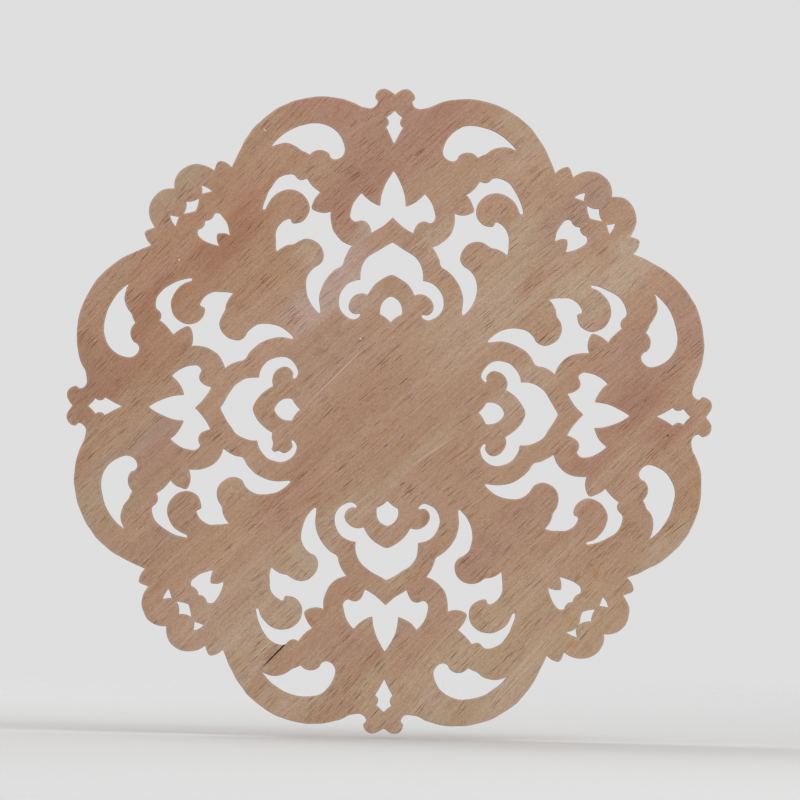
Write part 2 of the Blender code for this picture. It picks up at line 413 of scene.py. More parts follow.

# %% [markdown]
# ## One closed board
# The rings, the walls and the two faces share their points, so the board is one closed
# skin. The back is the same pattern of triangles turned over. Each point also keeps its
# distance from the nearest cut: the finish uses it to pale the worn, furry edge, partly as a
# painted highlight along the edge.


# %% Build the board's mesh
def board_mesh(name):
    """The rows of the section and both faces as one mesh, in metres, with edge_gap in mm."""
    step_count, line_points = rows.shape
    flat = np.concatenate([rows.ravel(), grid, grid])
    down = np.concatenate([row_depth.ravel(), sanded(grid), np.full(len(grid), THICKNESS)])
    low, high = np.array(board_low) / MM, np.array(board_high) / MM
    points = np.stack([flat.real, FACE + down, flat.imag], axis=1).clip(low, high) * MM
    here = np.arange(line_points)[None, :] + line_points * np.arange(step_count - 1)[:, None]
    beside = after[None, :] + line_points * np.arange(step_count - 1)[:, None]
    wall = np.stack([here, here + line_points, beside + line_points, beside], axis=-1)
    behind = np.where(face < line_points, face + line_points * (step_count - 1),
                      face + line_points * (step_count - 1) + len(grid))
    in_front = np.where(face < line_points, face, face + line_points * (step_count - 1))
    mesh = bpy.data.meshes.new(name)
    mesh.from_pydata(points, [], wall.reshape(-1, 4).tolist() + in_front.tolist()
                     + behind[:, ::-1].tolist())
    gap = np.concatenate([(in_from_cut[:, None] * scale).ravel(), grid_gap, grid_gap])
    mesh.attributes.new("edge_gap", "FLOAT", "POINT").data.foreach_set(
        "value", gap.astype(np.float32))
    mesh.shade_smooth()
    return mesh


rosette = bpy.data.objects.new("rosette_wood", board_mesh("rosette_wood"))
bpy.context.scene.collection.objects.link(rosette)
print("rosette:", len(rosette.data.vertices), "points,", len(rosette.data.polygons), "faces")

# %% [markdown]
# ## The drying split
# In one lower petal the board has opened along the grain, from a scroll towards the tip of a
# crescent. It is widest at the mouth and closes to nothing, and it doesn't go right through.
# A Boolean with a thin wedge cuts it. The wedge's sides are not straight, because wood parts
# from pore to pore.

# %% Cut the split with a wedge
SPLIT_MOUTH = -45.4 - 108.1j
SPLIT_END = -56.4 - 119.8j
SPLIT_WIDTH = 0.7
SPLIT_DEPTH = 6.0
SPLIT_STATIONS = 26
SPLIT_TAPER = 0.5
SPLIT_JAGS = 0.05
JAG_SEED = 3
BLUNT_TIP = 0.005
CUTTER_OVERRUN = 1.0


def wedge(name):
    """A closed wedge along the split: its half width falls as the square root of 1 - t from the
    mouth, t = 0, and each station strays a little sideways. It has four corners a station and
    two end caps."""
    t = np.linspace(-CUTTER_OVERRUN / abs(SPLIT_END - SPLIT_MOUTH), 1, SPLIT_STATIONS)
    side = 1j * (SPLIT_END - SPLIT_MOUTH) / abs(SPLIT_END - SPLIT_MOUTH)
    jag = np.random.default_rng(JAG_SEED).normal(size=(2, SPLIT_STATIONS)) * SPLIT_JAGS
    half = SPLIT_WIDTH / 2 * (1 - np.clip(t, 0, 1 - BLUNT_TIP)) ** SPLIT_TAPER
    middle = SPLIT_MOUTH + (SPLIT_END - SPLIT_MOUTH) * t + side * jag[0] * (t > 0)
    left, right = middle + side * half * (1 + jag[1]), middle - side * half
    corners = np.stack([left, right, right, left], axis=1)
    depths = np.array([-CUTTER_OVERRUN, -CUTTER_OVERRUN, SPLIT_DEPTH, SPLIT_DEPTH])
    points = np.stack([corners.real, np.broadcast_to(FACE + depths, corners.shape),
                       corners.imag], axis=-1).reshape(-1, 3) * MM
    station = 4 * np.arange(SPLIT_STATIONS - 1)[:, None]
    turn = np.arange(4)[None, :]
    sides = np.stack([station + turn, station + (turn + 1) % 4, station + 4 + (turn + 1) % 4,
                      station + 4 + turn], axis=-1).reshape(-1, 4)
    last = 4 * (SPLIT_STATIONS - 1)
    mesh = bpy.data.meshes.new(name)
    mesh.from_pydata(points, [], sides.tolist() + [[3, 2, 1, 0], [last, last + 1, last + 2, last + 3]])
    return mesh


def outward(mesh):
    """Turns a closed mesh's faces outwards if the volume they enclose comes out negative."""
    mesh.calc_loop_triangles()
    points = np.array([v.co for v in mesh.vertices])
    corners = points[np.array([t.vertices for t in mesh.loop_triangles])]
    volume = np.einsum("ij,ij->", corners[:, 0], np.cross(corners[:, 1], corners[:, 2])) / 6
    if volume < 0:
        mesh.flip_normals()
    return abs(volume)


cutter = bpy.data.objects.new("split_cutter", wedge("split_cutter"))
bpy.context.scene.collection.objects.link(cutter)
outward(cutter.data)
boolean = rosette.modifiers.new("drying_split", "BOOLEAN")
boolean.operation = "DIFFERENCE"
boolean.object = cutter
whole_volume = outward(rosette.data)
bpy.context.view_layer.update()
cut_mesh = bpy.data.meshes.new_from_object(
    rosette.evaluated_get(bpy.context.evaluated_depsgraph_get()))
rosette.modifiers.clear()
rosette.data = cut_mesh
bpy.data.objects.remove(cutter)
print("the split takes %.0f cubic mm of wood" % ((whole_volume - outward(cut_mesh)) / MM**3))
print("the board holds %.0f cubic cm" % (outward(cut_mesh) * 1e6))

# %% [markdown]
# ## The wood
# The board is one species throughout, sawn so that its grain climbs to the right at a little
# over forty degrees and sweeps gently as it goes. A picture of wood would stop at the face.
# Here the figure is worked out in the solid, from Object coordinates, so that a streak on
# the face runs on through the walls and comes out at the back, as it does in a real board.
#
# All the patterns use grain coordinates in mm: u along the grain, v across it, and the depth.

# %% Short ways to write shader nodes
bare_wood = bpy.data.materials.new("bare_wood")
bare_wood.use_nodes = True
tree = bare_wood.node_tree
tree.nodes.clear()


def node(kind, *inputs, out=0, **settings):
    """Adds a shader node, feeds its inputs in order with values or other nodes' outputs, and
    returns one of its outputs. None leaves an input as it is."""
    made = tree.nodes.new("ShaderNode" + kind)
    for name, value in settings.items():
        setattr(made, name, value)
    for socket, value in zip(made.inputs, inputs):
        if isinstance(value, bpy.types.NodeSocket):
            tree.links.new(value, socket)
        elif value is not None:
            socket.default_value = value
    return made.outputs[out]


def add(a, b):
    return node("Math", a, b, operation="ADD")


def times(a, b):
    return node("Math", a, b, operation="MULTIPLY")


def fade(value, start, end, low=0.0, high=1.0):
    """low where value is at start, high where it is at end, and an eased step between."""
    return node("MapRange", value, start, end, low, high, interpolation_type="SMOOTHSTEP")


def blended(share, a, b, blend_type="MIX"):
    """Colour a, with that share of colour b laid over it."""
    return node("Mix", share, None, None, None, None, None, a, b, out=2, data_type="RGBA",
                blend_type=blend_type)


def stretched(vector, along, across, deep):
    return node("VectorMath", vector, (1 / along, 1 / across, 1 / deep), operation="MULTIPLY")


def cloud(vector, detail=2.0, roughness=0.5, out=0):
    """Soft noise with lumps about one unit across, from 0 to 1, mostly near a half."""
    return node("TexNoise", vector, None, 1.0, detail, roughness, out=out)


# %% Grain coordinates
GRAIN_ANGLE = np.radians(43)
SWEEP = (-0.006, -0.0001, 0.000005)
WAVER = 1.1
WAVER_SIZE = (85, 45, 60)


def grain_place(x, z):
    """Grain coordinates, in mm, of a point of the face: the axes turned by the grain's angle,
    then v less u (a + b (u + v) + c v^2), which makes straight grain sweep."""
    turned = (x + 1j * z) * np.exp(-1j * GRAIN_ANGLE)
    u, v = turned.real, turned.imag
    return u, v - u * (SWEEP[0] + SWEEP[1] * (u + v) + SWEEP[2] * v**2)


spot = node("VectorMath", node("TexCoord", out=3), (1 / MM,) * 3, operation="MULTIPLY")
grain_way = (np.cos(GRAIN_ANGLE), 0, np.sin(GRAIN_ANGLE))
u = node("VectorMath", spot, grain_way, operation="DOT_PRODUCT", out=1)
v = node("VectorMath", spot, (-grain_way[2], 0, grain_way[0]), operation="DOT_PRODUCT", out=1)
deep = node("SeparateXYZ", spot, out=1)
slope = add(add(times(add(u, v), SWEEP[1]), times(times(v, v), SWEEP[2])), SWEEP[0])
straight = node("Math", v, times(u, slope), operation="SUBTRACT")
first_grain = node("CombineXYZ", u, straight, deep)
waver = fade(cloud(stretched(first_grain, *WAVER_SIZE)), 0.25, 0.75, -WAVER, WAVER)
grain = node("CombineXYZ", u, add(straight, waver), deep)

# %% [markdown]
# ### Large changes of tone
# The photographed board isn't one brown. A redder, darker heart crosses the upper left, plum
# bands cross the top, the right and the foot, and the lobes' outer parts are a greyer beige.
# Beside the middle lies a painted highlight: a pale sheen of light laid on as a pale haze of
# colour. Each is a soft patch, stretched along the grain, with a place, a half length, a half
# width, a tint and a strength. It fades slowly towards its ends and more briskly at its sides,
# and a streaky noise breaks up both. Painting the patches on the mesh would tie them to its
# points, and one large noise wouldn't put them where they are.


# %% Tints
FACE_LIGHT = 0.905
GLOSS_WHITE = 0.019


def linear(red, green, blue):
    """A colour as its shader value, from the 0 to 255 numbers that a picture shows. The picture's
    light is divided out, and the white that the faint gloss adds to every colour is taken off."""
    shown = np.array([red, green, blue]) / 255
    light = np.where(shown <= 0.04045, shown / 12.92, ((shown + 0.055) / 1.055) ** 2.4)
    return (*np.maximum(light / FACE_LIGHT - GLOSS_WHITE, 0.004), 1.0)


PLAIN_WOOD = linear(171, 137, 113)
HEART = linear(165, 122, 95)
DARK_HEART = linear(157, 115, 91)
UMBER = linear(154, 118, 96)
HONEY = linear(169, 132, 105)
RUSSET = linear(168, 131, 107)
TAN = linear(175, 141, 113)
PLUM = linear(165, 126, 107)
DARK_PLUM = linear(159, 116, 98)
SLATE = linear(163, 132, 113)
# painted highlight: the colour of the pale sheen of light beside the middle
SHEEN_HIGHLIGHT = linear(179, 152, 138)
CREAM = linear(179, 153, 130)
BEIGE = linear(176, 147, 120)
ASH = linear(168, 141, 117)
PATCHES = (
    ("heart of the upper left", -98, 60, 76, 20, HEART, 0.6),
    ("heart by the left finial", -134, 13, 28, 12, DARK_HEART, 0.6),
    ("dark heart in the left petal", -112, 46, 22, 8, DARK_HEART, 0.8),
    ("dark heart by the tulip", -77, 78, 24, 8, DARK_HEART, 0.9),
    ("honey under the tulip", -62, 62, 24, 9, HONEY, 0.9),
    ("upper end of the heart", -62, 106, 24, 7, HEART, 0.35),
    ("plum in the upper lobe", -33, 139, 21, 12, DARK_PLUM, 0.55),
    ("plum left of the crown", -13, 131, 24, 9, PLUM, 0.85),
    ("plum band at the crown", -4, 116, 46, 13, PLUM, 0.8),
    ("dark plum in the crown", -20, 100, 22, 6, DARK_PLUM, 0.35),
    ("dark plum by the crown's crescent", 26, 138, 20, 7, DARK_PLUM, 0.45),
    ("slate above the upper onion", 12, 78, 24, 12, SLATE, 0.35),
    # the next two patches are painted highlight, a pale sheen of light
    ("painted sheen beside the middle", -27, 57, 28, 9, SHEEN_HIGHLIGHT, 0.85),
    ("end of the painted sheen", -14, 52, 12, 6, SHEEN_HIGHLIGHT, 0.6),
    ("pale by the upper left scroll", -35, 77, 12, 5, CREAM, 0.8),
    ("slate ribs in the middle", -30, 24, 26, 12, SLATE, 0.4),
    ("pale right of the middle", 40, 44, 40, 13, CREAM, 0.5),
    ("pale right scroll", 62, 66, 30, 16, CREAM, 0.35),
    ("pale in the upper right scroll", 60, 85, 14, 6, CREAM, 0.6),
    ("russet in the right scroll", 67, 62, 12, 3, RUSSET, 0.8),
    ("pale beside the right onion", 60, 8, 24, 9, CREAM, 0.6),
    ("pale lobe foot", 108, 66, 26, 8, CREAM, 1.0),
    ("pale in the upper right lobe", 66, 122, 30, 9, CREAM, 0.25),
    ("plum at the right", 124, 32, 40, 15, PLUM, 0.75),
    ("dark plum at the right", 116, 5, 20, 8, DARK_PLUM, 0.7),
    ("plum under the right lozenge", 129, -7, 15, 7, DARK_PLUM, 0.7),
    ("russet in the lower right", 95, -56, 26, 11, RUSSET, 0.8),
    ("russet on the right lobe", 140, -42, 20, 9, RUSSET, 0.9),
    ("warm middle", -16, -10, 44, 17, RUSSET, 0.6),
    ("pale rib under the middle", 10, -24, 36, 3, CREAM, 0.5),
    ("dark lower left of the middle", -48, -42, 22, 8, DARK_PLUM, 0.35),
    ("pale under the middle", 4, -48, 24, 8, CREAM, 0.3),
    ("plum under the middle", 56, -54, 34, 9, PLUM, 0.5),
    ("plum in the lower right scroll", 36, -72, 16, 8, PLUM, 0.5),
    ("plum band at the foot", -12, -105, 34, 9, PLUM, 0.4),
    ("beige foot", 40, -122, 54, 20, BEIGE, 0.9),
    ("beige left of the foot", -46, -139, 32, 10, BEIGE, 1.0),
    ("beige lower left", -66, -92, 46, 13, CREAM, 0.4),
    ("beige by the lower left lobe", -66, -112, 34, 9, CREAM, 1.0),
    ("tan beside the dark", -80, -64, 24, 8, TAN, 0.7),
    ("ashen left lobe", -132, -42, 32, 15, ASH, 0.85),
    ("slate at the left", -108, -14, 26, 8, SLATE, 0.8),
    ("slate in the left corner", -104, -60, 22, 7, SLATE, 0.7),
    ("ashen upper corner", -103, 106, 24, 10, ASH, 0.95),
    ("slate in the right corner", 86, 96, 26, 7, SLATE, 0.8),
    ("beige right corner", 76, -86, 36, 14, BEIGE, 0.5),
    ("pale buds in the right corner", 92, -104, 30, 10, BEIGE, 1.0),
    ("pale tongue in the lower left", -42, -73, 17, 8, CREAM, 1.0),
    ("pale under that tongue", -42, -91, 16, 6, CREAM, 1.0),
    ("pale lower left lobe", -71, -125, 19, 8, CREAM, 1.0),
    ("pale edge of the foot", 62, -130, 28, 9, CREAM, 0.8),
    ("pale right of the lower finial", 21, -139, 13, 8, CREAM, 0.6),
    ("pale at the lower finial", -4, -131, 14, 8, BEIGE, 0.8),
    ("pale under the lower lily", -6, -97, 12, 5, BEIGE, 0.7),
    ("pale over the lower lily", 5, -78, 12, 5, BEIGE, 0.7),
    ("pale over the right scroll", 85, 60, 16, 6, CREAM, 0.8),
    ("pale top of the upper right lobe", 62, 138, 16, 7, CREAM, 0.6),
    ("pale over the lower onion", -19, -49, 18, 6, CREAM, 0.6),
    ("pale in the right lobe's foot", 133, -62, 18, 8, CREAM, 0.65),
    ("pale knob in the left petal", -71, -33, 14, 6, CREAM, 0.55),
    ("pale in the upper lily", 23, 81, 14, 6, CREAM, 0.6),
    ("umber left edge", -145, 15, 18, 13, UMBER, 0.75),
    ("dark at the left lily", -105, 24, 16, 6, HEART, 0.6),
    ("plum by the left lily", -108, -25, 16, 7, PLUM, 0.6),
    ("pale over the right onion", 78, 33, 24, 6, CREAM, 0.6),
    ("plum beside the right crescent", 95, -20, 16, 8, DARK_PLUM, 0.5),
    ("tan edge of the left lobe", -145, -31, 12, 6, HEART, 0.5),
    # painted highlight: more of the pale sheen of light, under the crown
    ("painted sheen under the crown", -9, 88, 9, 4, SHEEN_HIGHLIGHT, 0.6),
    ("plum beside that painted sheen", -27, 83, 12, 5, PLUM, 0.7),
    ("pale over the lobe foot", 112, 81, 13, 6, CREAM, 1.0),
    ("pale under the split", -56, -141, 18, 6, CREAM, 0.7),
)
PATCH_ENDS = (1.35, 0.3)
PATCH_SIDES = (1.25, 0.7)
BREAK_UP = (26, 7, 0)
BREAK_UP_SIZE = (70, 6, 24)
ragged = node("VectorMath", cloud(stretched(grain, *BREAK_UP_SIZE), 4.0, 0.6, out=1),
              (0.5, 0.5, 0.5), operation="SUBTRACT")
ragged = node("VectorMath", ragged, BREAK_UP, grain, operation="MULTIPLY_ADD")
ragged_u, ragged_v = node("SeparateXYZ", ragged, out=0), node("SeparateXYZ", ragged, out=1)


def near(value, middle, half, shares, most=1.0):
    """0 where value is far from middle and most where it is close. The two limits are shares of
    the half length or half width."""
    gap = node("Math", node("Math", value, middle, operation="SUBTRACT"), operation="ABSOLUTE")
    return fade(gap, shares[0] * half, shares[1] * half, 0.0, most)


tone = PLAIN_WOOD
for title, x, z, half_length, half_width, tint, strength in PATCHES:
    u_middle, v_middle = grain_place(x, z)
    lengthwise = near(ragged_u, u_middle, half_length, PATCH_ENDS, strength)
    sideways = near(ragged_v, v_middle, half_width, PATCH_SIDES)
    tone = blended(times(lengthwise, sideways), tone, tint)
print(len(PATCHES), "patches of tone")

# %% [markdown]
# ### Streaks and fibres
# On top of the tone run the growth bands, the streaks and hair lines inside them, the single
# fibres and the short flecks, each a noise drawn out along the grain at its own scale. Where
# the streaks and hair lines are strong the wood looks ribbed, and elsewhere it is nearly
# plain, so a slow noise rules their strength. A streak darkens blue and green more than red,
# which makes it browner. Two more noises then move the wood a little between olive and plum,
# and between warm and cool.

# %% Streaks
BANDS = ((260, 16, 40), 0.1)
BROAD_STREAKS = ((120, 4.2, 16), 0.06)
STREAKS = ((60, 1.2, 6), 0.08)
HAIR_LINES = ((80, 0.42, 2.5), 0.1)
FIBRES = ((26, 0.4, 0.7), 0.13)
FLECKS = ((1.2, 0.24, 0.24), 0.38)
NOISE_SPAN = (0.2, 0.8)
RIBBED_SIZE = (75, 24, 40)
RIBBED = (0.38, 0.68, 0.35, 1.5)
STREAKED = linear(151, 112, 86)
UNSTREAKED = linear(191, 164, 142)
BLUSHES = ((26, 1.2, 5), 0.42)
BROAD_BLUSHES = ((130, 8, 30), 0.4)
OLIVE_TO_PLUM = ((0.985, 1.03, 1.0, 1.0), (1.01, 0.965, 1.0, 1.0))
WARM_TO_COOL = ((1.0, 0.985, 0.93, 1.0), (1.0, 1.012, 1.07, 1.0))
WARMTH_PLACE = (300, 90, 0)


def figure(sizes, weight, vector=grain):
    """Streaks of those sizes along the grain, across it and deep, from -weight to weight."""
    return node("MapRange", cloud(stretched(vector, *sizes), 1.0), *NOISE_SPAN, -weight, weight,
                clamp=False)


ribbed = fade(cloud(stretched(grain, *RIBBED_SIZE)), *RIBBED)
ribs = add(figure(*STREAKS), add(figure(*BROAD_STREAKS), figure(*HAIR_LINES)))
fine = add(figure(*FIBRES), figure(*FLECKS))
streaks = add(times(ribs, ribbed), add(figure(*BANDS), fine))
streak_colour = blended(add(streaks, 0.5), STREAKED, UNSTREAKED)
grey_level = node("VectorMath", streak_colour, tuple(1 / c for c in PLAIN_WOOD[:3]),
                  operation="MULTIPLY")
figured = blended(1.0, tone, grey_level, "MULTIPLY")
for (low_tint, high_tint), place in ((OLIVE_TO_PLUM, (0, 0, 0)), (WARM_TO_COOL, WARMTH_PLACE)):
    moved = node("VectorMath", grain, place, operation="ADD")
    blush = add(figure(*BLUSHES, moved), figure(*BROAD_BLUSHES, moved))
    figured = blended(1.0, figured, blended(add(blush, 0.5), low_tint, high_tint), "MULTIPLY")

# %% [markdown]
# ### Pores
# The dark dashes are pores, the cut-open tubes of a ring of vessels. A cell noise stretched
# along the grain gives each cell one tube: it shows where the distance from the cell's
# centre is small. Because the cells are solid, a tube that the saw cuts across shows on the
# wall as a dot. Each cell's own random colour says whether its tube is there and how dark.
# Between them run hair-fine dark threads, and here and there a long pale one: both are the
# rare lows and highs of a drawn-out noise.

# %% Pores and threads
PORES = ((16, 0.5, 0.5), 0.23, 0.55)
FINE_PORES = ((13, 0.37, 0.37), 0.25, 0.25)
FINE_PORE_SHARE = 0.8
PORE_BROWN = linear(98, 54, 34)
POROUS_SIZE = (60, 9, 30)
POROUS = (0.35, 0.62, 0.35, 1.0)
THREADS = (24, 0.5, 0.8)
THREAD_LOWS = (0.35, 0.28)
THREAD_BROWN = linear(134, 82, 58)
THREAD_SHARE = 0.5
PALE_THREADS = (90, 0.9, 1.6)
THREAD_HIGHS = (0.68, 0.78)
THREAD_PALE = linear(206, 182, 162)
PALE_SHARE = 0.4


def tubes(sizes, radius, empty):
    """1 inside a tube and 0 outside, for the share of the cells that aren't empty."""
    cells = stretched(grain, *sizes)
    distance = node("TexVoronoi", cells, None, 1.0)
    luck = node("SeparateColor", node("TexVoronoi", cells, None, 1.0, out=1))
    there = fade(luck, empty, empty + 0.3 * (1 - empty))
    return times(fade(distance, radius, radius * 0.75), there)


porous = fade(cloud(stretched(grain, *POROUS_SIZE)), *POROUS)
threads = times(fade(cloud(stretched(grain, *THREADS), 1.0), *THREAD_LOWS), porous)
pale_threads = fade(cloud(stretched(grain, *PALE_THREADS), 1.0), *THREAD_HIGHS)
pores = node("Math", tubes(*PORES), times(tubes(*FINE_PORES), FINE_PORE_SHARE), operation="MAXIMUM")
pores = times(pores, porous)
dark_threaded = blended(times(threads, THREAD_SHARE), figured, THREAD_BROWN)
threaded = blended(times(pale_threads, PALE_SHARE), dark_threaded, THREAD_PALE)
pored = blended(pores, threaded, PORE_BROWN)

# %% [markdown]
# ### Single marks
# Some marks can be told one by one: smooth places without pores, orange streaks, dark
# dashes, rusty spots, specks of chalk, and the ribs and pale lines above the middle. The smooth
# place by the middle is a painted highlight, the sheen's colour laid over the pores. Each is
# a long spindle in the face, given by its two ends, a half width, a tint and a strength.
# Marks of one tint that follow each other are laid on together, and the shares that they
# leave bare are multiplied, because the renderer can keep only 255 numbers waiting at once.

# %% Marks
ORANGE_MARK = linear(148, 97, 71)
DARK_MARK = linear(84, 50, 34)
RIB_MARK = linear(146, 106, 84)
RUST_MARK = linear(172, 108, 62)
OCHRE_MARK = linear(172, 126, 80)
DOT_BROWN = linear(106, 60, 34)
AMBER_MARK = linear(188, 144, 112)
CHALK_MARK = linear(226, 210, 190)
PALE_MARK = linear(206, 184, 160)
MARK_DEPTH = 1.5
MARK_CORE = 0.35
MARKS = (
    # painted highlight: the sheen's colour laid over the pores beside the middle
    ("smooth by the haze", -40.0, 47.0, -22.0, 63.0, 6.5, SHEEN_HIGHLIGHT, 0.55),
    ("smooth left of the foot", -63.0, -146.0, -45.0, -129.0, 6.5, BEIGE, 0.6),
    ("smooth lower left lobe", -80.0, -132.0, -57.0, -110.0, 7.5, BEIGE, 0.6),
    ("smooth lower left tongue", -55.0, -78.0, -41.0, -65.0, 5.5, BEIGE, 0.55),
    ("smooth left lobe", -107.0, -50.0, -89.0, -34.0, 6.5, SLATE, 0.55),
    ("orange streak right of the middle", 19.5, -29.4, 42.9, -11.3, 0.3, ORANGE_MARK, 0.75),
    ("its bright middle", 29.2, -23.9, 39.3, -13.9, 1.3, AMBER_MARK, 0.4),
    ("its dark middle", 30.6, -21.3, 39.3, -14.6, 0.4, ORANGE_MARK, 0.7),
    ("orange streak under the middle", 4.2, -41.6, 13.4, -34.3, 0.35, ORANGE_MARK, 0.9),
    ("long line at the right", 122.5, -61.2, 141.8, -47.2, 0.3, ORANGE_MARK, 0.7),
    ("line in the right corner", 104.3, -86.2, 115.2, -72.3, 0.26, ORANGE_MARK, 0.7),
    ("fleck left of the middle", -20.0, -3.6, -17.8, -5.0, 0.4, ORANGE_MARK, 0.6),
    ("blush by the lower left scroll", -40.0, -44.6, -28.0, -37.0, 1.6, ORANGE_MARK, 0.3),
    ("fleck by the lower left scroll", -37.9, -42.6, -30.1, -37.8, 0.7, ORANGE_MARK, 0.5),
    ("red fleck on the right lobe", 142.4, 44.7, 143.8, 43.4, 0.5, ORANGE_MARK, 0.9),
    ("dark rib left of the middle", -40.3, 9.2, -20.6, 28.7, 0.7, RIB_MARK, 0.45),
    ("rib beside the pale line", -37.8, 4.2, -15.0, 27.4, 0.35, RIB_MARK, 0.6),
    ("long rib", -41.2, -13.8, -17.5, 9.9, 0.35, RIB_MARK, 0.6),
    ("upper half of the long rib", -19.3, 8.2, 8.6, 35.7, 0.35, RIB_MARK, 0.6),
    ("orange head of the long rib", -1.5, 26.2, 6.3, 32.7, 0.9, ORANGE_MARK, 0.35),
    ("ochre spot in the right corner", 96.1, -70.0, 98.9, -77.6, 1.9, OCHRE_MARK, 0.65),
    ("smudge in the right corner", 83.6, -108.6, 91.0, -104.9, 2.6, OCHRE_MARK, 0.45),
    ("second smudge in the right corner", 83.6, -97.0, 88.0, -93.4, 1.6, OCHRE_MARK, 0.35),
    ("halo of the dot", 128.2, -8.9, 131.3, -8.7, 1.3, OCHRE_MARK, 0.5),
    ("dark dot at the right", 129.1, -8.9, 130.4, -8.8, 0.75, DOT_BROWN, 1.0),
    ("rust spot by the split", -36.6, -96.6, -32.9, -98.8, 1.7, RUST_MARK, 0.45),
    ("small rust spot by the split", -33.3, -102.1, -31.7, -102.1, 0.6, RUST_MARK, 0.5),
    ("line beside the orange streak", 20.0, -26.6, 35.1, -13.3, 0.22, DARK_MARK, 0.45),
    ("second line beside it", 21.2, -19.4, 36.8, -6.3, 0.2, DARK_MARK, 0.4),
    ("dark end of the streak under the middle", 8.5, -38.5, 12.4, -34.9, 0.25, DARK_MARK, 0.6),
    ("dash under the middle", 5.1, -34.9, 8.4, -32.4, 0.3, DARK_MARK, 0.9),
    ("second dash under the middle", 14.8, -38.8, 18.0, -36.0, 0.22, DARK_MARK, 0.6),
    ("upper half of the long line", 129.9, -55.8, 141.6, -47.0, 0.22, DARK_MARK, 0.6),
    ("line to the right pearl", 28.5, -7.7, 41.7, 1.8, 0.2, DARK_MARK, 0.8),
    ("dash above the middle", 3.3, 11.6, 9.6, 16.7, 0.22, DARK_MARK, 1.0),
    ("dash by the middle", -2.7, -17.1, 0.2, -14.8, 0.22, DARK_MARK, 0.9),
    ("second dash by the middle", 4.5, -13.7, 8.5, -9.6, 0.2, DARK_MARK, 0.9),
    ("dash left of the middle", -3.6, 9.2, 0.7, 12.1, 0.2, DARK_MARK, 0.8),
    ("streak in the right scroll", 68.2, 32.7, 74.3, 39.0, 0.2, DARK_MARK, 0.9),
    ("second streak in the right scroll", 72.7, 33.6, 77.4, 38.1, 0.2, DARK_MARK, 0.9),
    ("dash by the upper tulip", -64.3, 82.9, -59.7, 88.1, 0.25, DARK_MARK, 0.8),
    ("second dash by the upper tulip", -68.2, 81.9, -65.2, 86.5, 0.25, DARK_MARK, 0.7),
    ("dash in the long rib", -6.7, 20.4, -1.5, 25.0, 0.28, DARK_MARK, 0.5),
    ("dash over the long rib", -12.2, 20.7, -7.3, 25.7, 0.25, DARK_MARK, 0.4),
    ("second dash left of the middle", -9.3, 8.9, -5.6, 11.9, 0.24, DARK_MARK, 0.6),
    ("dash in the left petal", -123.3, 47.0, -113.2, 55.3, 0.4, DARK_MARK, 0.6),
    ("second dash in the left petal", -109.3, 71.2, -102.0, 78.1, 0.25, DARK_MARK, 0.7),
    ("dash on the left edge", -146.2, 30.1, -139.4, 36.9, 0.3, DARK_MARK, 0.6),
    ("chalk in the upper lobe", -61.1, 130.7, -59.2, 128.9, 0.3, CHALK_MARK, 0.9),
    ("chalk by the upper tulip", -99.6, 68.7, -98.4, 68.8, 0.5, CHALK_MARK, 0.9),
    ("chalk above the middle", -14.5, 33.6, -13.3, 33.6, 0.5, CHALK_MARK, 0.9),
    ("pale line through the ribs", -43.3, -2.5, -8.6, 33.1, 0.4, PALE_MARK, 0.6),
    ("second pale line", -45.7, 4.5, -22.4, 27.2, 0.28, PALE_MARK, 0.4),
    ("pale line under the middle", 4.7, -29.0, 38.6, -6.0, 0.6, PALE_MARK, 0.3),
)


mark_depth = fade(deep, FACE, FACE + MARK_DEPTH)


def spindle(start, end, half_width, outside, inside):
    """A value with one level outside a spindle around the line between two points of the face, and
    another about its middle. Measured in half lengths, half widths and depths from the middle,
    the spindle is a ball of radius one."""
    half = (end - start) / 2
    along, aside = half / abs(half) ** 2, 1j * half / abs(half) / half_width
    middle = (start + end) / 2 * np.conj([along, aside])
    measured = [node("VectorMath", spot, (way.real, 0, way.imag), operation="DOT_PRODUCT", out=1)
                for way in (along, aside)]
    ball = node("CombineXYZ", *measured, mark_depth)
    far = node("VectorMath", ball, (*middle.real, 0), operation="DISTANCE", out=1)
    return fade(far, 1.0, MARK_CORE, outside, inside)


marked = pored
for tint, marks in groupby(MARKS, key=lambda mark: mark[-2]):
    left_bare = 1.0
    for title, x1, z1, x2, z2, half_width, _, strength in marks:
        bare = spindle(x1 + 1j * z1, x2 + 1j * z2, half_width, 1.0, 1.0 - strength)
        left_bare = times(left_bare, bare)
    marked = blended(left_bare, tint, marked)
print(len(MARKS), "single marks")

# %% [markdown]
# ### Edges, walls and the split
# The arris is painted paler than the face: partly because fine paper lifts a short nap of
# fibres there that scatters light, partly as a painted highlight where the eased edge catches
# the light. The `edge_gap` on the mesh says how near the cut is. On the walls the wood shows
# end grain where the cut crosses the fibres, which drinks in light and looks darker. The
# inside of the split is painted dark brown as painted shade, and a thin line of the same
# painted shade lies along it on the face and runs a little past its end.

# %% Edge, wall and split colours
# partly painted highlight: the pale edge colour stands both for sanding fuzz and for light caught by
# the eased edge
NAP_AND_EDGE_HIGHLIGHT = linear(196, 172, 154)
NAP_AND_HIGHLIGHT_REACH = (1.15, 0.1)
NAP_AND_HIGHLIGHT_STRENGTH = 0.42
NAP_AND_HIGHLIGHT_CLUMPS = (2.2, 0.8, 0.8)
NAP_AND_HIGHLIGHT_RANGE = (0.3, 0.7, 0.5, 1.0)
END_GRAIN = linear(122, 88, 68)
END_GRAIN_RANGE = (0.15, 0.95, 0.0, 0.55)
# painted shade: a dark brown for the inside of the split and for a thin line along it on the face, a
# little past its end
SPLIT_SHADE_BROWN = linear(58, 30, 12)
SPLIT_SHADE_LINE = (-42.0 - 104.5j, -58.0 - 121.3j, 0.5, 0.0, 0.75)

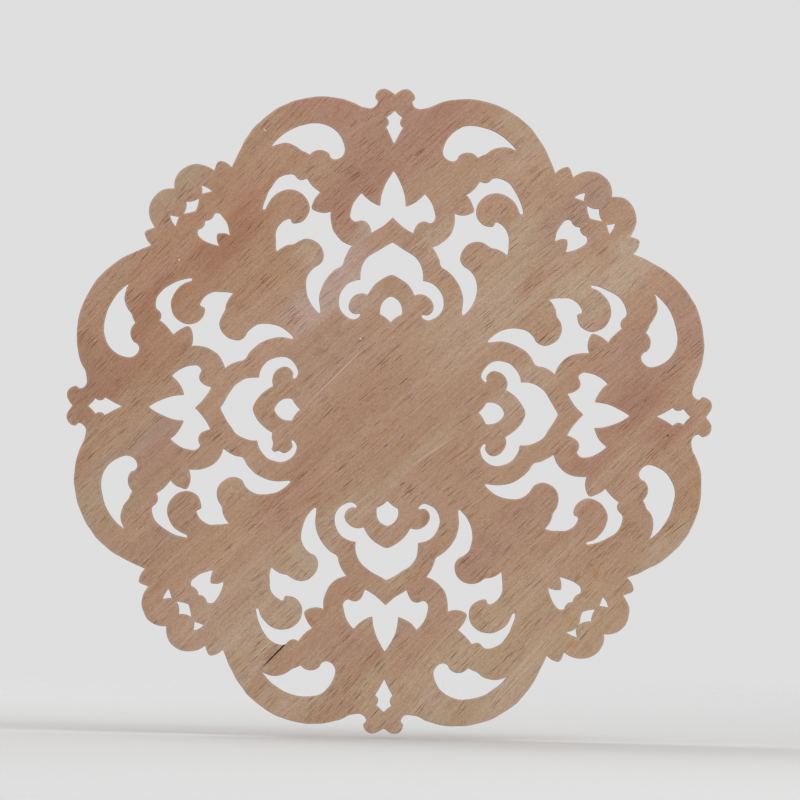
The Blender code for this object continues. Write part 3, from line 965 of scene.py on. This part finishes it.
edge_gap = node("Attribute", attribute_name="edge_gap", out=2)
nap_and_highlight_noise = fade(cloud(stretched(grain, *NAP_AND_HIGHLIGHT_CLUMPS)), *NAP_AND_HIGHLIGHT_RANGE)
# paler near the cut, broken into clumps: sanding fuzz and painted highlight along the edge
nap_and_edge_highlight = times(times(fade(edge_gap, *NAP_AND_HIGHLIGHT_REACH), nap_and_highlight_noise), NAP_AND_HIGHLIGHT_STRENGTH)
with_nap_and_highlight = blended(nap_and_edge_highlight, marked, NAP_AND_EDGE_HIGHLIGHT)
normal = node("TexCoord", out=1)
across_fibres = node("Math", node("VectorMath", normal, grain_way, operation="DOT_PRODUCT", out=1),
                     operation="ABSOLUTE")
ended = blended(fade(across_fibres, *END_GRAIN_RANGE), with_nap_and_highlight, END_GRAIN)


def along_split(start, end, width):
    """1 within a band of that width between two points of the face, in mm, fading at its sides."""
    way = (end - start) / abs(end - start)
    place = node("VectorMath", spot, (start.real, 0, start.imag), operation="SUBTRACT")
    far = node("VectorMath", place, (way.real, 0, way.imag), operation="DOT_PRODUCT", out=1)
    aside = node("VectorMath", place, (-way.imag, 0, way.real), operation="DOT_PRODUCT", out=1)
    inside = times(fade(far, 0, 0.4), fade(far, abs(end - start), abs(end - start) - 1.5))
    return times(inside, fade(node("Math", aside, operation="ABSOLUTE"), width, width * 0.4))


below_face = fade(deep, FACE + 0.15, FACE + 0.5)
above_floor = fade(deep, FACE + SPLIT_DEPTH + 0.3, FACE + SPLIT_DEPTH + 0.1)
# painted shade inside the split, from just under the face down to near its floor
painted_split_shade = times(along_split(SPLIT_MOUTH, SPLIT_END, SPLIT_WIDTH * 0.75),
                  times(below_face, above_floor))
# the split's painted shade and the thin line of painted shade along it, laid over the wood
with_split_shade = blended(node("Math", painted_split_shade, spindle(*SPLIT_SHADE_LINE), operation="MAXIMUM"), ended, SPLIT_SHADE_BROWN)

# %% [markdown]
# ### Feel
# Sanded open-pored wood is dull, a little duller in the pores. Its pores are hollows and its
# fibres stand up two hundredths of a millimetre. The walls keep the blade's marks: fine
# ridges that run through the thickness, the way the blade went up and down. All of these are
# too small for the mesh, so they are bump.

# %% Relief and roughness
PORE_DEPTH = 0.06
RAISED_FIBRES = (5, 0.3, 0.3)
FIBRE_HEIGHT = 0.02
RIDGES = (0.45, 9.0, 0.45)
RIDGE_HEIGHT = 0.05
DULLNESS = (0.66, 0.58)
PORE_DULLNESS = 0.2
GLOSS = 0.25
WALL_TURN = (0.6, 0.3)

on_wall = fade(node("Math", node("SeparateXYZ", normal, out=1), operation="ABSOLUTE"), *WALL_TURN)
ridges = times(times(cloud(stretched(spot, *RIDGES), 1.0), on_wall), RIDGE_HEIGHT)
fibres = times(cloud(stretched(grain, *RAISED_FIBRES)), FIBRE_HEIGHT)
relief = node("Math", add(ridges, fibres), times(pores, PORE_DEPTH), operation="SUBTRACT")
surface = node("Bump", 1.0, MM, None, relief)
dullness = add(fade(streaks, -0.5, 0.5, *DULLNESS), times(pores, PORE_DULLNESS))
shader = tree.nodes.new("ShaderNodeBsdfPrincipled")
tree.links.new(with_split_shade, shader.inputs["Base Color"])
tree.links.new(dullness, shader.inputs["Roughness"])
tree.links.new(surface, shader.inputs["Normal"])
shader.inputs["Specular IOR Level"].default_value = GLOSS
output = tree.nodes.new("ShaderNodeOutputMaterial")
tree.links.new(shader.outputs["BSDF"], output.inputs["Surface"])
rosette.data.materials.clear()
rosette.data.materials.append(bare_wood)
print("the wood has", len(tree.nodes), "shader nodes")

# %% Give the rosette its place in the frame
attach(rosette, "root")
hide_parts("rosette_board")

# %% [markdown]
# ## A small studio
# The rosette is shown upright over a plain pale floor. A wall close behind would stand in the
# way of a camera that goes round to the back, so the floor fades out into a pale sky
# instead. The sky does most of the lighting, because the photograph is evenly lit. A wide
# soft lamp high on the right lifts the arrises that face it, and a weaker one behind the
# board does the same for the back.

# %% Floor
FLOOR_DROP = 2.0
FLOOR_RADIUS = 2.6
FLOOR_FADE = (0.4, 2.5)
FLOOR_PALE = (0.66, 0.657, 0.65, 1.0)


def pale_floor():
    """A wide disc whose surface turns see-through towards its rim."""
    bpy.ops.mesh.primitive_circle_add(vertices=96, radius=FLOOR_RADIUS, fill_type="NGON",
                                      location=(0, 0, board_low.z - FLOOR_DROP * MM))
    floor = bpy.context.object
    floor.name = "pale_floor"
    material = bpy.data.materials.new("pale_floor")
    material.use_nodes = True
    nodes, links = material.node_tree.nodes, material.node_tree.links
    place = nodes.new("ShaderNodeTexCoord").outputs["Object"]
    far, solid = nodes.new("ShaderNodeVectorMath"), nodes.new("ShaderNodeMapRange")
    far.operation = "LENGTH"
    solid.interpolation_type = "SMOOTHSTEP"
    solid.inputs["From Min"].default_value, solid.inputs["From Max"].default_value = FLOOR_FADE
    solid.inputs["To Min"].default_value, solid.inputs["To Max"].default_value = 1.0, 0.0
    links.new(place, far.inputs[0])
    links.new(far.outputs["Value"], solid.inputs["Value"])
    paint = nodes["Principled BSDF"]
    paint.inputs["Base Color"].default_value = FLOOR_PALE
    paint.inputs["Roughness"].default_value = 0.9
    paint.inputs["Specular IOR Level"].default_value = 0.1
    links.new(solid.outputs["Result"], paint.inputs["Alpha"])
    floor.data.materials.append(material)
    floor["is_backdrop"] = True


pale_floor()

# %% Sky and lamps
SKY = (0.735, 0.735, 0.74, 1.0)
MIDDLE = Vector((0, FACE * MM, 0))
LAMPS = (("key_lamp", (1.1, -2.0, 1.5), 1.6, 24), ("back_lamp", (-1.2, 1.9, 1.3), 1.6, 20))

world = bpy.data.worlds.new("pale_sky")
world.use_nodes = True
world.node_tree.nodes["Background"].inputs["Color"].default_value = SKY
bpy.context.scene.world = world
for title, place, size, watts in LAMPS:
    lamp = bpy.data.lights.new(title, "AREA")
    lamp.shape = "DISK"
    lamp.size = size
    lamp.energy = watts
    lamp_object = bpy.data.objects.new(title, lamp)
    lamp_object.location = place
    lamp_object.rotation_euler = (MIDDLE - Vector(place)).to_track_quat("-Z", "Y").to_euler()
    bpy.context.scene.collection.objects.link(lamp_object)
bpy.context.scene.view_settings.view_transform = "Standard"

# %% [markdown]
# ## The camera
# The photograph looks square on at the board: no wall shows on either side of any cut. The
# picture is 372 mm wide at the face, the board hangs about one degree clockwise in it, and
# its middle is a little left of the picture's middle and a little below it. A long lens ten
# metres away sees it the same way, rolled instead of the board.

# %% Camera
PICTURE_WIDTH = 372.1
CAMERA_FAR = 10000
SENSOR = 36
ROLL = np.radians(1.065)
AIM_RIGHT, AIM_UP = 5.04, 5.33

right = Vector((np.cos(ROLL), 0, np.sin(ROLL)))
up = Vector((-np.sin(ROLL), 0, np.cos(ROLL)))
lens = bpy.data.cameras.new("camera")
lens.sensor_width = SENSOR
lens.lens = SENSOR * CAMERA_FAR / PICTURE_WIDTH
camera = bpy.data.objects.new("camera", lens)
camera.matrix_world = Matrix((right, up, right.cross(up))).transposed().to_4x4()
camera.location = (right * AIM_RIGHT + up * AIM_UP + Vector((0, FACE - CAMERA_FAR, 0))) * MM
bpy.context.scene.collection.objects.link(camera)
bpy.context.scene.camera = camera
print("lens: %.1f mm" % lens.lens)

# %% Sizes, and the end
new_low, new_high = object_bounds()
growth = (*(cad_low - new_low), *(new_high - cad_high))
print("grown by, in mm:", [round(x / MM, 3) for x in growth])
